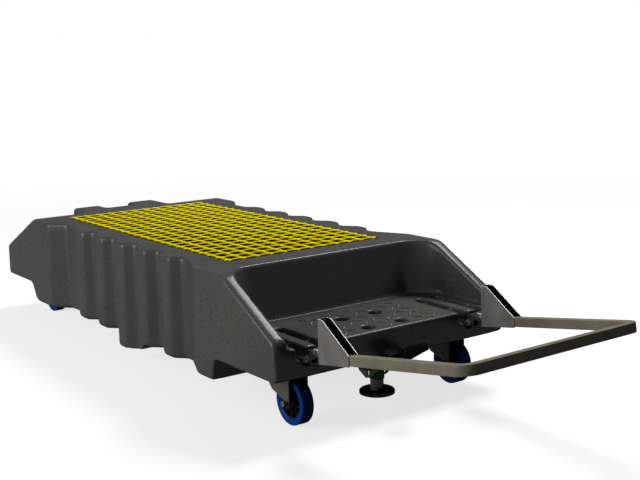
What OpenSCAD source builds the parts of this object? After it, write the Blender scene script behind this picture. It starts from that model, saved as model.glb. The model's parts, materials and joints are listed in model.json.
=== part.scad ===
// Waste oil trolley: a moulded sump body under a grating, on two swivel and two fixed wheels,
// with a fold-up towing handle and a floor lock. Millimetres, +Z up, floor at Z 0.
// The handle end points to -Y. "From the front" means behind the body's front face.

/* [Body] */
// Length of the moulded body
body_l = 1520; // [1490:5:1560]
// Width across the cheeks at deck height
body_w = 628; // [614:2:650]
// Height of the deck above the floor
deck_h = 313; // [304:1:329]
// Thickness of the moulded wall
wall = 7; // [5:0.5:8]
// Lean of the side walls, outwards to the foot
draft = 0.9; // [0.5:0.05:2.5]
// Radius between two faces of the ribbed side, seen from above
side_r = 11; // [6:1:14]
// Height of the underside over the front and rear wheels
under_h = 120; // [117:1:124]
// Height of the underside of the sump
sump_h = 66; // [60:1:79]
// Height of the underside of the deep well
well_h = 38; // [34:1:54]
// Edge bevel along the bottom of the sump
foot_bevel = 8; // [4:0.5:12]
// Edge bevel along the deck
deck_bevel = 5; // [3:0.5:7]

/* [Body from the front] */
// Lean of the front face at deck height
front_lean = 20; // [10:1:28]
// Where the cheeks reach the deck
knee_y = 210; // [200:1:225]
// Height of the cheeks at the front face
cheek_h = 204; // [194:1:209]
// Where the sump's front wall drops
sump_front = 252; // [245:1:262]
// Where the sump's rear wall drops
sump_rear = 1280; // [1264:2:1316]
// Length over which the sump's rear wall slants
sump_slant = 36; // [24:1:46]
// Where the deck ends and the rear slope starts
deck_end = 1278; // [1268:2:1290]
// Height of the rear slope at the rear face
rear_top = 199; // [189:1:209]
// Start of the deep well
well_y = 662; // [650:2:680]
// Length of the deep well
well_l = 124; // [110:2:140]
// Length over which each end of the deep well slants
well_slant = 20; // [12:1:26]

/* [Side ribs] */
// Number of ribs on each side
rib_n = 5; // [4:1:5]
// Distance between two ribs
rib_pitch = 123.5; // [115:0.5:126]
// Middle of the first rib, from the front
rib_first = 497; // [490:1:505]
// Length of the flat crest of a rib
rib_flat = 38; // [30:1:44]
// Length of each slanted flank of a rib
rib_flank = 28; // [22:1:32]
// How far a crest stands out of the valley
rib_out = 25; // [18:1:30]
// How far the valley lies inside the cheek
valley_in = 42; // [36:1:46]
// Where the front cheek's flank starts
flank_front = 324; // [316:1:330]
// Length of the front cheek's flank
flank_front_l = 96; // [70:1:104]
// Where the rear flank ends
flank_rear = 1173; // [1160:1:1185]
// Length of the rear flank
flank_rear_l = 49; // [40:1:60]
// Radius of the body's upright rear corners
end_r = 30; // [12:1:36]

/* [Rear buttresses] */
// Inner edge of each buttress from the middle
buttress_in = 49; // [40:1:56]
// Outer edge of each buttress from the middle
buttress_out = 133; // [120:1:145]
// Where the buttresses end at deck height
buttress_end = 1408; // [1380:2:1420]
// Where the deck ends between the buttresses
bridge_end = 1342; // [1320:2:1356]

/* [Shelf bay] */
// Height of the shelf floor
shelf_h = 186; // [180:1:192]
// Depth of the shelf at its floor
shelf_l = 218; // [205:1:222]
// Distance of the bay from the cheeks' outer sides
bay_in = 32; // [24:1:38]
// Lean of the bay's rear wall
bay_lean = 14; // [8:1:18]
// Radius of the bay's rear corners
bay_r = 72; // [50:1:85]
// Diameter of the four cups in the shelf
cup_d = 33; // [28:1:38]
// Depth of the cups
cup_depth = 30; // [20:1:40]
// Sideways distance between two cups
cup_x = 93; // [80:1:100]
// Lengthways distance between two cups
cup_y = 95; // [80:1:100]
// Middle of the front cups, from the front
cup_first = 44; // [36:1:50]
// Height of the raised tread marks
tread_h = 1.6; // [1:0.1:2.5]
// Length of a tread mark
tread_l = 22; // [16:1:26]
// Distance between two rows of tread marks
tread_pitch = 31; // [28:1:36]

/* [Rails and mounting tubes] */
// Distance of each rail from the cheek's outer side
rail_in = 89; // [84:1:94]
// Width of a rail
rail_w = 26; // [25:0.5:28]
// Width of the groove on each side of a rail
groove_w = 25; // [20:1:26]
// Length of the grooves
groove_l = 168; // [155:1:176]
// Depth of the grooves
groove_depth = 27; // [22:1:30]
// Thickness of the cross ribs in the grooves
cross_t = 6; // [4:1:8]
// Side of the square mounting tube
mount_side = 20; // [18:1:21]
// Wall of the mounting tube
mount_wall = 2; // [1.5:0.25:3]
// Height of the mounting tube's middle
mount_z = 158.5; // [157:0.5:160]
// How far the mounting tube sticks out of the front face
mount_out = 5; // [3:1:8]
// Length of the mounting tube
mount_l = 150; // [130:1:160]
// Free play around the tube in its pocket
pocket_gap = 0.3; // [0.1:0.1:0.6]

/* [Grating] */
// Distance between two bars
bar_pitch = 38; // [36:0.5:39]
// Number of bars that run lengthways
bars_x = 12; // [11:1:12]
// Number of bars that run crossways
bars_y = 24; // [22:1:24]
// Thickness of a bar
bar_t = 6.5; // [5:0.5:8]
// Height of the bars
bar_h = 30; // [25:1:38]
// Length of the bar ends outside the outer bars
bar_stub = 11; // [8:1:14]
// Play between the grating and its recess
grating_gap = 2; // [1:0.5:4]
// Width of the ledge under the grating's edge
ledge_w = 18; // [12:1:24]
// Middle of the grating, from the front
grating_mid = 784; // [778:1:790]

/* [Handle] */
// How far the handle reaches in front of the body
handle_reach = 459; // [420:1:480]
// Side of the square handle tube
tube_side = 20; // [18:1:20]
// Wall of the handle tube
tube_wall = 1.5; // [1:0.25:2.5]
// Rise of the arms from level
arm_rise = 9.4; // [7:0.1:12]
// Outer radius of the handle's corners
handle_r = 35; // [30:1:60]
// Distance of the gusset's web from the front face
web_out = 35; // [33:1:38]
// Height of the arm's upper face at the web
arm_top = 179; // [177:1:181]
// Thickness of the gusset sheet
gusset_t = 1.5; // [1:0.25:2]
// Height of the gusset's upper end
gusset_top = 250.5; // [234:0.5:259]
// Length of the gusset's flat upper end
gusset_flat = 15; // [8:1:20]
// Length of the gusset
gusset_l = 100; // [80:1:110]
// Diameter of the hinge pins
pin_d = 6; // [5:0.5:6.5]
// Height of the hinge pins
pin_z = 180.4; // [179.5:0.1:181]
// Distance from a hinge pin's middle to the gusset's web
pin_to_web = 12; // [11:0.5:13]
// Radius of the gusset's ears
ear_r = 5.3; // [4.8:0.1:5.8]
// Width of the hinge lug
lug_w = 19; // [17:0.5:19.2]
// Length of the hinge lug behind the pin
lug_l = 62; // [50:1:80]

/* [Wheels] */
// Diameter of the wheels
wheel_d = 100; // [96:1:102]
// Width of the tyre's tread
tyre_w = 29.5; // [28:0.5:34]
// Thickness of the tyre
tyre_t = 14; // [10:1:16]
// Radius of the tyre's shoulders
shoulder_r = 2.5; // [1:0.5:5]
// Length of the hub
hub_l = 43; // [40:1:44]
// Diameter of the hub
hub_d = 27; // [24:1:30]
// Diameter of the bush in the hub
bush_d = 18; // [16:1:20]
// Number of spokes
spoke_n = 9; // [6:1:10]
// Thickness of a spoke
spoke_t = 2.6; // [2:0.2:4]
// Thickness of the wheel's web between the spokes
web_t = 3; // [2:0.5:5]
// Diameter of the axles
axle_d = 8; // [7:0.5:10]
// Side play of the hub in its fork
hub_gap = 0.5; // [0.3:0.1:0.8]
// Running clearance around axles and pins
run_gap = 0.05; // [0.02:0.01:0.1]
// Distance of the front wheels' middles from the cheek's outer side
front_in = 90; // [86:1:94]
// Distance of the rear wheels' middles from the cheek's outer side
rear_in = 105; // [98:1:112]

/* [Casters] */
// Swivel axis of the front wheels, from the front
swivel_y = 113; // [108:1:118]
// Distance from the swivel axis to the axle
trail = 40; // [35:1:44]
// Axle of the rear wheels, from the front
rear_axle_y = 1405; // [1396:1:1420]
// Width of the top plates, across the trolley
plate_w = 84; // [80:1:90]
// Length of the top plates
plate_l = 104; // [100:1:110]
// Thickness of the top plates
plate_t = 3; // [2.5:0.5:4]
// Sideways distance between the plate bolts
plate_bolt_x = 60; // [56:1:64]
// Lengthways distance between the plate bolts
plate_bolt_y = 80; // [76:1:84]
// Thickness of the fork sheet
fork_t = 3; // [2:0.5:4]
// Diameter of the swivel bearing
swivel_d = 66; // [60:1:70]
// Radius of a rear fork's leg around the axle
leg_r = 14; // [12:1:16]
// Radius of the narrow tongue of a front fork's leg around the axle
tongue_r = 7.5; // [7:0.25:8.5]
// How far a front fork's leg reaches in front of the axle
leg_lead = 14.5; // [12:0.5:16]
// Height of a front fork's lower edge over the axle
leg_skirt = 7; // [6:0.5:9]
// Rise of the lower edge to its bend
leg_rise = 12.5; // [9:0.5:15]
// Rise from the bend to the leg's rear corner
corner_rise = 12; // [9:0.5:15]
// Distance of the leg's rear corner behind the swivel axis
leg_back = 20; // [18:1:23]
// Diameter of the kingpin
kingpin_d = 14; // [12:1:16]

/* [Floor lock] */
// Middle of the floor lock, from the front
lock_y = 76; // [72:1:82]
// Diameter of the foot
foot_d = 80; // [70:1:90]
// Height of the foot's sole when it is lifted
foot_lift = 19.5; // [19.2:0.1:21]
// Thickness of the foot
foot_t = 9.7; // [8.5:0.1:11]
// Diameter of the stem
stem_d = 30; // [26:1:31]
// Wall of the guide sleeve
sleeve_t = 2; // [1.5:0.25:2.25]
// Height of the guide sleeve's lower end
sleeve_h = 55; // [53:1:57]
// Thickness of the side plates
side_t = 3; // [2:0.5:3.5]
// Distance from the stem's middle to the side plates
side_x = 19.5; // [19.3:0.1:21]
// Diameter of the cross pin and of the pivot pin
lock_pin_d = 8; // [6:0.5:8.5]
// Height of the cross pin when the foot is lifted
cross_z = 87; // [86:0.5:88]
// Distance from the stem's middle back to the pedal's pivot
pivot_back = 32; // [31:1:34]
// Height of the pedal's pivot
pivot_z = 86; // [85:0.5:87]
// Travel of the foot
foot_travel = 19; // [17:0.5:19]
// Thickness of the pedal's arms
pedal_t = 4; // [3:0.5:5]
// Width of the pedal's tread
pedal_w = 46; // [40:1:54]
// Distance of the tread's middle in front of the body
tip_out = 52; // [46:1:56]
// Height of the tread's middle
tip_h = 144; // [138:1:150]
// Where the arms bend upwards, from the front
bend_y = 12; // [10:1:14]
// Height of the arms at the bend
bend_h = 106; // [103:0.5:107]
// Half length of the side plates at the top
side_half = 48; // [46:1:50]
// Height where the side plates begin to narrow
side_mid_h = 102; // [98:1:106]
// Height of the side plates' lowest point
side_low_h = 56; // [52:1:58]

/* [Hidden] */
$fn = 64;

// Colours, as the trolley shows them
plastic = "#3b3f43";
yellow = "#d8cf1d";
steel = "#a8a69f";
zinc = "#c4c6c9";
black = "#1b1b1d";
blue = "#1f62b4";
green = "#1d5b3a";

// Y of the body's front face: the whole length is centred on Y 0
front_y = (body_l + handle_reach) / 2 - body_l;
// Small overlap that lets a cut pass its surface
eps = 1;
// Reach of the big cutting prisms, larger than the whole trolley
far = 2400;
// Segments of a rounded corner in an outline
corner_n = 4;

grating_w = (bars_x - 1) * bar_pitch + 2 * bar_stub;
grating_l = (bars_y - 1) * bar_pitch + 2 * bar_stub;
grating_y = front_y + grating_mid;
recess_w = grating_w + 2 * grating_gap;
recess_l = grating_l + 2 * grating_gap;

pin_y = front_y - web_out + pin_to_web;
gusset_in = tube_side + 0.2;
flange_x = gusset_in / 2;

bay_w = body_w - 2 * bay_in;
rail_x = body_w / 2 - rail_in;
front_x = body_w / 2 - front_in;
rear_x = body_w / 2 - rear_in;

axle_z = wheel_d / 2;
swivel_abs = front_y + swivel_y;
front_axle_abs = swivel_abs - trail;
rear_axle_abs = front_y + rear_axle_y;
front_axle_at = [front_x, front_axle_abs];
rear_axle_at = [rear_x, rear_axle_abs];
fork_in = hub_l + 2 * hub_gap;
axle_nut_h = 8;
plate_z = under_h - plate_t;
// The crown of the front fork hangs under the ring between it and the plate
crown_z = plate_z - 12;
bolt_d = 8;
// Socket head and washer of the cross bolts
socket_d = 13;
socket_h = 8;
washer_d = 16;
washer_t = 1.6;
nut_h = 6.5;
head_room = socket_h + washer_t + 2;
// Hexagon head of the plate screws, across its corners
hex_d = 15;
hex_h = 5.5;
// Length of a plate screw inside the body
screw_l = 16;

lock_abs = front_y + lock_y;
pivot_abs = lock_abs + pivot_back;
lock_plate_t = 4;
lock_plate_z = under_h - lock_plate_t;

// Outlines

// Unit vector from point a to point b
function toward(a, b) = (b - a) / norm(b - a);

// Arc that rounds corner b between a and c with radius r
function corner(a, b, c, r) =
    let (
        u = toward(b, a),
        v = toward(b, c),
        half = acos(max(-1, min(1, u * v))) / 2,
        back = r / tan(half),
        mid = b + toward([0, 0], u + v) * r / sin(half),
        from = b + u * back - mid,
        to = b + v * back - mid,
        start = atan2(from[1], from[0]),
        sweep = atan2(from[0] * to[1] - from[1] * to[0], from * to)
    )
    r < 0.01 ? [b] :
    [for (i = [0:corner_n]) mid + r * [cos(start + sweep * i / corner_n), sin(start + sweep * i / corner_n)]];

// Closed outline whose points are [x, y, radius]
function rounded(p) =
    let (n = len(p))
    [for (i = [0:n - 1])
        let (
            a = p[(i + n - 1) % n],
            b = p[i],
            c = p[(i + 1) % n]
        )
        each corner([a[0], a[1]], [b[0], b[1]], [c[0], c[1]], b[2])];

// Half width of the ribbed side along the body: points are [from the front, half width]
function side_line() =
    let (
        cheek = body_w / 2,
        valley = cheek - valley_in,
        crest = valley + rib_out
    )
    concat(
        [[flank_front, cheek], [flank_front + flank_front_l, valley]],
        [for (i = [0:rib_n - 1], s = [[-1, 1], [-1, 0], [1, 0], [1, 1]])
            [rib_first + i * rib_pitch + s[0] * (rib_flat / 2 + s[1] * rib_flank), s[1] == 0 ? crest : valley]],
        [[flank_rear - flank_rear_l, valley], [flank_rear, cheek]]
    );

// Region on the inner side of the left wall, squeezed to keep its width after a tilt
function side_region(grow, tilt) =
    let (
        line = side_line(),
        wide = [for (p = line) [-(p[1] + grow) * cos(tilt), p[0], side_r]],
        left = -(body_w / 2 + grow) * cos(tilt)
    )
    rounded(concat([[left, -far / 2, 0]], wide, [[left, body_l, end_r], [far, body_l, 0], [far, -far / 2, 0]]));

// Left wall as a tilted prism: at height z its half width is grown by grow
module side_prism(grow, tilt, z) {
    translate([0, front_y, z])
        rotate([0, tilt, 0])
            linear_extrude(far, center = true)
                polygon(side_region(grow, tilt));
}

// Both side walls with their draft, moved in by inset
module drafted_sides(inset) {
    intersection_for (s = [0, 1])
        mirror([s, 0, 0])
            side_prism(-inset, draft, deck_h);
}

// Bevels along the deck and along the foot of the sump
module bevelled_sides() {
    foot_z = sump_h + foot_bevel;
    intersection_for (s = [0, 1])
        mirror([s, 0, 0])
            intersection() {
                side_prism(deck_bevel * tan(draft), 45, deck_h - deck_bevel);
                side_prism((deck_h - foot_z) * tan(draft), -45, foot_z);
            }
}

// Solid with a side view given as [from the front, height, radius] points
module side_view(points, half_w) {
    translate([-half_w, front_y, 0])
        rotate([90, 0, 90])
            linear_extrude(2 * half_w)
                polygon(rounded(points));
}

// Side view of the body. The side prisms end it at its full length
function body_view() = [
    [0, under_h, 10],
    [front_lean * (cheek_h - under_h) / (deck_h - under_h), cheek_h, 16],
    [knee_y, deck_h, 45],
    [deck_end, deck_h, 12],
    [body_l + eps, rear_top, 28],
    [body_l + eps, under_h, 14],
    [sump_rear + sump_slant, under_h, 22],
    [sump_rear, sump_h, 16],
    [sump_front + 6, sump_h, 14],
    [sump_front - 6, under_h, 12]
];

// Side view of the hollow inside the moulded wall
function hollow_view() =
    let (
        slope = (deck_h - rear_top) / (body_l - deck_end),
        top = deck_h - wall,
        floor_in = sump_h + wall,
        under_in = under_h + wall,
        bay_foot = shelf_l + wall * 1.6,
        bay_top = bay_foot + (top - shelf_h) * tan(bay_lean)
    )
    [
        [2 * wall, under_in, 6],
        [2 * wall, shelf_h - wall, 6],
        [bay_foot, shelf_h - wall, 0],
        [bay_top, top, 4],
        [deck_end - wall / 2, top, 8],
        [body_l - wall, rear_top - wall / 2, 20],
        [body_l - wall, under_in, 10],
        [sump_rear + sump_slant + wall / 2, under_in, 18],
        [sump_rear - wall / 2, floor_in, 14],
        [well_y + well_l - wall / 2, floor_in, 4],
        [well_y + well_l - well_slant - wall / 2, well_h + wall, 12],
        [well_y + well_slant + wall / 2, well_h + wall, 12],
        [well_y + wall / 2, floor_in, 4],
        [sump_front + 6 + wall, floor_in, 10],
        [sump_front - 6 + wall, under_in, 8]
    ];

// Side view of the deep well, up into the sump
function well_view() = [
    [well_y, sump_h, 0],
    [well_y + well_slant, well_h, 26],
    [well_y + well_l - well_slant, well_h, 26],
    [well_y + well_l, sump_h, 0],
    [well_y + well_l, sump_h + foot_bevel + eps, 0],
    [well_y, sump_h + foot_bevel + eps, 0]
];

// Side view of a block that carries the deck past its end
function deck_block(end) = [
    [deck_end - 30, deck_h - 60, 0],
    [deck_end - 30, deck_h, 0],
    [end, deck_h, 14],
    [end + 18, deck_h - (end + 18 - deck_end) * (deck_h - rear_top) / (body_l - deck_end) - 8, 0]
];

// Body

module body_outer() {
    intersection() {
        side_view(body_view(), body_w);
        drafted_sides(0);
        bevelled_sides();
    }
    intersection() {
        side_view(well_view(), body_w);
        drafted_sides(0);
    }
    side_view(deck_block(bridge_end), buttress_in + eps);
    for (s = [-1, 1])
        translate([s * (buttress_in + buttress_out) / 2, 0, 0])
            side_view(deck_block(buttress_end), (buttress_out - buttress_in) / 2);
}

// Shelf bay: a pocket with round rear corners, whose rear wall leans back
module bay() {
    round_y = shelf_l - bay_r;
    intersection() {
        translate([0, front_y, shelf_h])
            rotate([-bay_lean, 0, 0])
                translate([0, 0, -eps * 20])
                    linear_extrude(deck_h) {
                        translate([-bay_w / 2, -far])
                            square([bay_w, far + round_y]);
                        translate([-bay_w / 2 + bay_r, -far])
                            square([bay_w - 2 * bay_r, far + shelf_l]);
                        for (s = [-1, 1])
                            translate([s * (bay_w / 2 - bay_r), round_y])
                                circle(bay_r);
                    }
        translate([-body_w, -far, shelf_h])
            cube([2 * body_w, 2 * far, deck_h]);
    }
}

// Blocks left solid inside the hollow, for bolts, cups and pockets
module solid_blocks() {
    groove_in = rail_x - rail_w / 2 - groove_w - wall;
    // Seat of a rear caster's screws
    seat_side = 8;
    seat_h = screw_l + 8;
    for (s = [0, 1])
        mirror([s, 0, 0])
            translate([groove_in, front_y - eps, 0])
                cube([body_w, shelf_l + eps, shelf_h]);
    translate([-cup_x / 2 - cup_d / 2 - wall, front_y - eps, 0])
        cube([cup_x + cup_d + 2 * wall, cup_first + cup_y + cup_d, shelf_h]);
    for (s = [-1, 1])
        translate([s * rear_x - plate_w / 2 - seat_side, rear_axle_abs - plate_l / 2 - seat_side, under_h])
            cube([plate_w + 2 * seat_side, plate_l + 2 * seat_side, seat_h]);
    translate([-recess_w / 2 - wall, grating_y - recess_l / 2 - wall, deck_h - bar_h - wall])
        cube([recess_w + 2 * wall, recess_l + 2 * wall, bar_h + wall]);
}

module hollow() {
    difference() {
        intersection() {
            side_view(hollow_view(), body_w);
            drafted_sides(wall);
        }
        solid_blocks();
    }
}

// Grooves beside a rail, with the pocket for its tube: the rail is centred on X 0
module rail_cuts() {
    side = rail_w / 2 + groove_w / 2;
    cross_at = [groove_l * 0.39, groove_l * 0.9];
    pocket = mount_side + 2 * pocket_gap;
    notch_x = rail_w / 2 + 9;
    for (s = [-1, 1])
        difference() {
            translate([s * side - groove_w / 2, -far, shelf_h - groove_depth])
                cube([groove_w, far + groove_l, far]);
            for (y = cross_at)
                translate([s * side - groove_w, y - cross_t / 2, shelf_h - groove_depth - eps])
                    cube([2 * groove_w, cross_t, groove_depth - 7]);
        }
    translate([-pocket / 2, -far, mount_z - pocket / 2])
        cube([pocket, far + mount_l - mount_out + pocket_gap, lug_rear_top() - mount_z + pocket / 2 + pocket_gap]);
    translate([-notch_x, -far, mount_z - pocket / 2])
        cube([2 * notch_x, far + 15, lug_rear_top() - mount_z + pocket / 2 + pocket_gap]);
    for (y = tube_bolt_ys())
        translate([-rail_w, y, mount_z])
            rotate([0, 90, 0])
                cylinder(d = bolt_d + 0.6, h = 2 * rail_w);
    // Room for the head and the nut of the rear bolt under the groove's floor
    for (s = [-1, 1])
        translate([s * (rail_w / 2 + head_room / 2), tube_bolt_ys()[1], mount_z])
            rotate([0, 90, 0])
                cylinder(d = washer_d + 3, h = head_room, center = true);
}

// Bolt places along a mounting tube, from the front
function tube_bolt_ys() = [6, 112];

// Top of the lug's part inside the rail
function lug_rear_top() = mount_z + mount_side / 2 + 9.5;

// One raised tread mark
module tread_mark() {
    scale_end = 3;
    linear_extrude(tread_h + eps)
        union() {
            square([tread_l - 2 * scale_end, 2 * scale_end], center = true);
            for (s = [-1, 1])
                translate([s * (tread_l / 2 - scale_end), 0])
                    circle(scale_end, $fn = 16);
        }
}

// Staggered marks over the shelf between the inner grooves, clear of the cups
module treads() {
    half_w = rail_x - rail_w / 2 - groove_w - tread_l;
    cols = floor(half_w / tread_pitch);
    rows = floor((shelf_l - 40) / tread_pitch);
    for (i = [-cols:cols], j = [0:rows]) {
        x = i * tread_pitch;
        y = 26 + j * tread_pitch + (i % 2 == 0 ? 0 : tread_pitch / 2);
        from_cup = min([for (a = [-1, 1], b = [0, 1]) norm([x - a * cup_x / 2, y - cup_first - b * cup_y])]);
        if (from_cup > cup_d / 2 + tread_l / 2 + 2 && y < shelf_l - tread_l)
            translate([x, front_y + y, shelf_h - eps])
                rotate((i + j) % 2 == 0 ? 45 : -45)
                    tread_mark();
    }
}

// Bolt holes under a top plate centred on X 0, Y 0
module plate_holes(z, h, d) {
    for (x = [-1, 1], y = [-1, 1])
        translate([x * plate_bolt_x / 2, y * plate_bolt_y / 2, z])
            cylinder(d = d, h = h);
}

// Places of the four caster plates
module at_plates() {
    for (s = [-1, 1], at = [[front_x, swivel_abs], rear_axle_at])
        translate([s * at[0], at[1], 0])
            children();
}

module body_shell() {
    color(plastic) {
        difference() {
            body_outer();
            hollow();
            bay();
            translate([-recess_w / 2, grating_y - recess_l / 2, deck_h - bar_h])
                cube([recess_w, recess_l, far]);
            translate([-recess_w / 2 + ledge_w, grating_y - recess_l / 2 + ledge_w, deck_h - bar_h - wall - eps])
                cube([recess_w - 2 * ledge_w, recess_l - 2 * ledge_w, far]);
            for (s = [-1, 1])
                translate([s * rail_x, front_y, 0])
                    rail_cuts();
            for (x = [-1, 1], y = [0, 1])
                translate([x * cup_x / 2, front_y + cup_first + y * cup_y, shelf_h - cup_depth])
                    cylinder(d = cup_d, h = far);
            at_plates()
                plate_holes(under_h - eps, screw_l + 4 + eps, bolt_d);
            translate([0, lock_abs, 0])
                plate_holes(under_h - eps, screw_l + 4 + eps, bolt_d);
        }
        treads();
    }
}

module grating() {
    color(yellow)
        translate([0, grating_y, deck_h - bar_h])
            linear_extrude(bar_h)
                union() {
                    for (i = [0:bars_x - 1])
                        translate([(i - (bars_x - 1) / 2) * bar_pitch - bar_t / 2, -grating_l / 2])
                            square([bar_t, grating_l]);
                    for (j = [0:bars_y - 1])
                        translate([-grating_w / 2, (j - (bars_y - 1) / 2) * bar_pitch - bar_t / 2])
                            square([grating_w, bar_t]);
                }
}

// Mounting tubes and hinge

module mount_tube(s) {
    color(steel)
        translate([s * rail_x, front_y - mount_out, mount_z])
            difference() {
                translate([-mount_side / 2, 0, -mount_side / 2])
                    cube([mount_side, mount_l, mount_side]);
                translate([-mount_side / 2 + mount_wall, -eps, -mount_side / 2 + mount_wall])
                    cube([mount_side - 2 * mount_wall, mount_l + 2 * eps, mount_side - 2 * mount_wall]);
                for (y = tube_bolt_ys())
                    translate([-mount_side, y + mount_out, 0])
                        rotate([0, 90, 0])
                            cylinder(d = bolt_d + 0.4, h = 2 * mount_side);
            }
}

// Lug on the mounting tube: square below the pin, where the gusset's web stops, round above it
module hinge_lug(s) {
    base_z = mount_z + mount_side / 2;
    nose = pin_to_web - 0.3;
    crown = ear_r - 1;
    color(steel)
        translate([s * rail_x, 0, 0])
            difference() {
                union() {
                    translate([-lug_w / 2, pin_y - nose, base_z])
                        cube([lug_w, nose + lug_l, pin_z - base_z]);
                    translate([-lug_w / 2, pin_y - nose, base_z])
                        intersection() {
                            cube([lug_w, nose + web_out - pin_to_web - mount_out - eps, pin_z + crown - base_z]);
                            translate([-eps, nose, pin_z - base_z])
                                rotate([0, 90, 0])
                                    cylinder(r = nose, h = lug_w + 2 * eps);
                        }
                }
                translate([-lug_w, front_y - mount_out, lug_rear_top()])
                    cube([2 * lug_w, far, far]);
                translate([-lug_w, pin_y, pin_z])
                    rotate([0, 90, 0])
                        cylinder(d = pin_d + 2 * run_gap, h = 2 * lug_w);
            }
}

module hinge_pin(s) {
    head_t = 1.5;
    body = gusset_in + 2 * gusset_t + 0.8;
    color(zinc)
        translate([s * rail_x, pin_y, pin_z])
            rotate([0, 90, 0]) {
                cylinder(d = pin_d, h = body + 2 * head_t, center = true);
                for (e = [-1, 1])
                    translate([0, 0, e * (body + head_t) / 2])
                        cylinder(d = pin_d + 3, h = head_t, center = true);
            }
}

// Cross bolts through the tubes, all with their heads towards -X
module tube_bolts() {
    socket_depth = 4;
    color(zinc)
        for (s = [-1, 1], i = [0, 1])
            translate([s * rail_x, front_y + tube_bolt_ys()[i], mount_z])
                rotate([0, 90, 0]) {
                    seat = i == 0 ? mount_side / 2 : rail_w / 2;
                    difference() {
                        union() {
                            translate([0, 0, -seat - washer_t - socket_h])
                                cylinder(d = socket_d, h = socket_h);
                            translate([0, 0, -seat - washer_t])
                                cylinder(d = washer_d, h = washer_t);
                            translate([0, 0, -seat - washer_t])
                                cylinder(d = bolt_d, h = 2 * seat + washer_t + nut_h + 2);
                        }
                        translate([0, 0, -seat - washer_t - socket_h - eps])
                            cylinder(d = 7, h = socket_depth + eps, $fn = 6);
                    }
                }
}

module tube_nuts() {
    color(zinc)
        for (s = [-1, 1], i = [0, 1])
            translate([s * rail_x, front_y + tube_bolt_ys()[i], mount_z])
                rotate([0, 90, 0])
                    translate([0, 0, i == 0 ? mount_side / 2 : rail_w / 2])
                        difference() {
                            cylinder(d = hex_d, h = nut_h, $fn = 6);
                            translate([0, 0, -eps])
                                cylinder(d = bolt_d, h = nut_h + 2 * eps);
                        }
}

// Handle

// Flat band bent in a U: half width and length to its outer side, open towards +Y
module u_band(half, length, r, band) {
    difference() {
        u_plate(half, length, r);
        translate([0, eps])
            u_plate(half - band, length - band + eps, r - band);
    }
}

module u_plate(half, length, r) {
    translate([-half, -length + r])
        square([2 * half, length - r]);
    translate([-half + r, -length])
        square([2 * (half - r), r]);
    for (s = [-1, 1])
        translate([s * (half - r), -length + r])
            circle(r);
}

module handle_tube() {
    web_y = front_y - web_out - gusset_t - 1;
    outer = rail_x + tube_side / 2;
    // The bar's front face ends exactly at the reach, with the tube tilted
    length = (handle_reach - web_out - gusset_t - 1 - tube_side * sin(arm_rise)) / cos(arm_rise);
    color(steel)
        translate([0, web_y, arm_top])
            rotate([-arm_rise, 0, 0])
                translate([0, 0, -tube_side])
                    difference() {
                        linear_extrude(tube_side)
                            u_band(outer, length, handle_r, tube_side);
                        translate([0, 0, tube_wall])
                            linear_extrude(tube_side - 2 * tube_wall)
                                u_hollow(outer - tube_wall, length - tube_wall, handle_r - tube_wall,
                                    tube_side - 2 * tube_wall);
                    }
}

// Bore of the bent tube, running out of its open ends
module u_hollow(half, length, r, band) {
    u_band(half, length, r, band);
    for (s = [-1, 1])
        translate([s * (half - band / 2) - band / 2, -eps])
            square([band, 2 * eps]);
}

// Sheet channel: a web behind the arm, two flanges beside it and an ear on each for the pin
module gusset(s) {
    web_y = front_y - web_out;
    arm_drop = tube_side / cos(arm_rise);
    low_rear = arm_top - arm_drop - 2;
    low_front = low_rear + gusset_l * tan(arm_rise);
    top_front = arm_top + gusset_l * tan(arm_rise);
    flange = [
        [web_y, low_rear],
        [web_y, gusset_top],
        [web_y - gusset_flat, gusset_top],
        [web_y - gusset_l, top_front],
        [web_y - gusset_l - 1, low_front]
    ];
    color(steel)
        translate([s * rail_x, 0, 0])
            difference() {
                union() {
                    for (e = [0, 1])
                        mirror([e, 0, 0])
                            translate([flange_x, 0, 0])
                                rotate([90, 0, 90])
                                    linear_extrude(gusset_t)
                                        union() {
                                            polygon(flange);
                                            translate([pin_y, pin_z])
                                                circle(ear_r);
                                            translate([web_y - eps, pin_z - ear_r])
                                                square([pin_y - web_y + eps, 2 * ear_r]);
                                        }
                    translate([-flange_x - gusset_t, web_y - gusset_t, low_rear])
                        cube([2 * (flange_x + gusset_t), gusset_t, gusset_top - low_rear]);
                }
                translate([-rail_w, pin_y, pin_z])
                    rotate([0, 90, 0])
                        cylinder(d = pin_d + 4 * run_gap, h = 2 * rail_w);
            }
}

// Wheels, centred on X 0 with the axle along X

module on_axle(s, at) {
    translate([s * at[0], at[1], axle_z])
        rotate([0, 90, 0])
            children();
}

module rim() {
    seat_r = wheel_d / 2 - tyre_t;
    ring_t = 3;
    ring_w = tyre_w - 6;
    difference() {
        union() {
            cylinder(d = hub_d, h = hub_l, center = true);
            difference() {
                cylinder(r = seat_r, h = ring_w, center = true);
                cylinder(r = seat_r - ring_t, h = ring_w + eps, center = true);
            }
            cylinder(r = seat_r - eps, h = web_t, center = true);
            for (i = [0:spoke_n - 1])
                rotate(i * 360 / spoke_n)
                    translate([hub_d / 2 - eps, -spoke_t / 2, -ring_w / 2 + 2])
                        cube([seat_r - hub_d / 2 - eps, spoke_t, ring_w - 4]);
        }
        cylinder(d = bush_d, h = hub_l + 2 * eps, center = true);
    }
}

// Tyre in section: flat tread, rounded shoulders, narrow foot on the rim
function tyre_section() =
    let (
        inner = wheel_d / 2 - tyre_t,
        outer = wheel_d / 2,
        half = tyre_w / 2,
        foot_in = 3,
        foot_up = 5
    )
    rounded([
        [inner, -half + foot_in, 0],
        [inner + foot_up, -half, 2],
        [outer, -half, shoulder_r],
        [outer, half, shoulder_r],
        [inner + foot_up, half, 2],
        [inner, half - foot_in, 0]
    ]);

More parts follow.
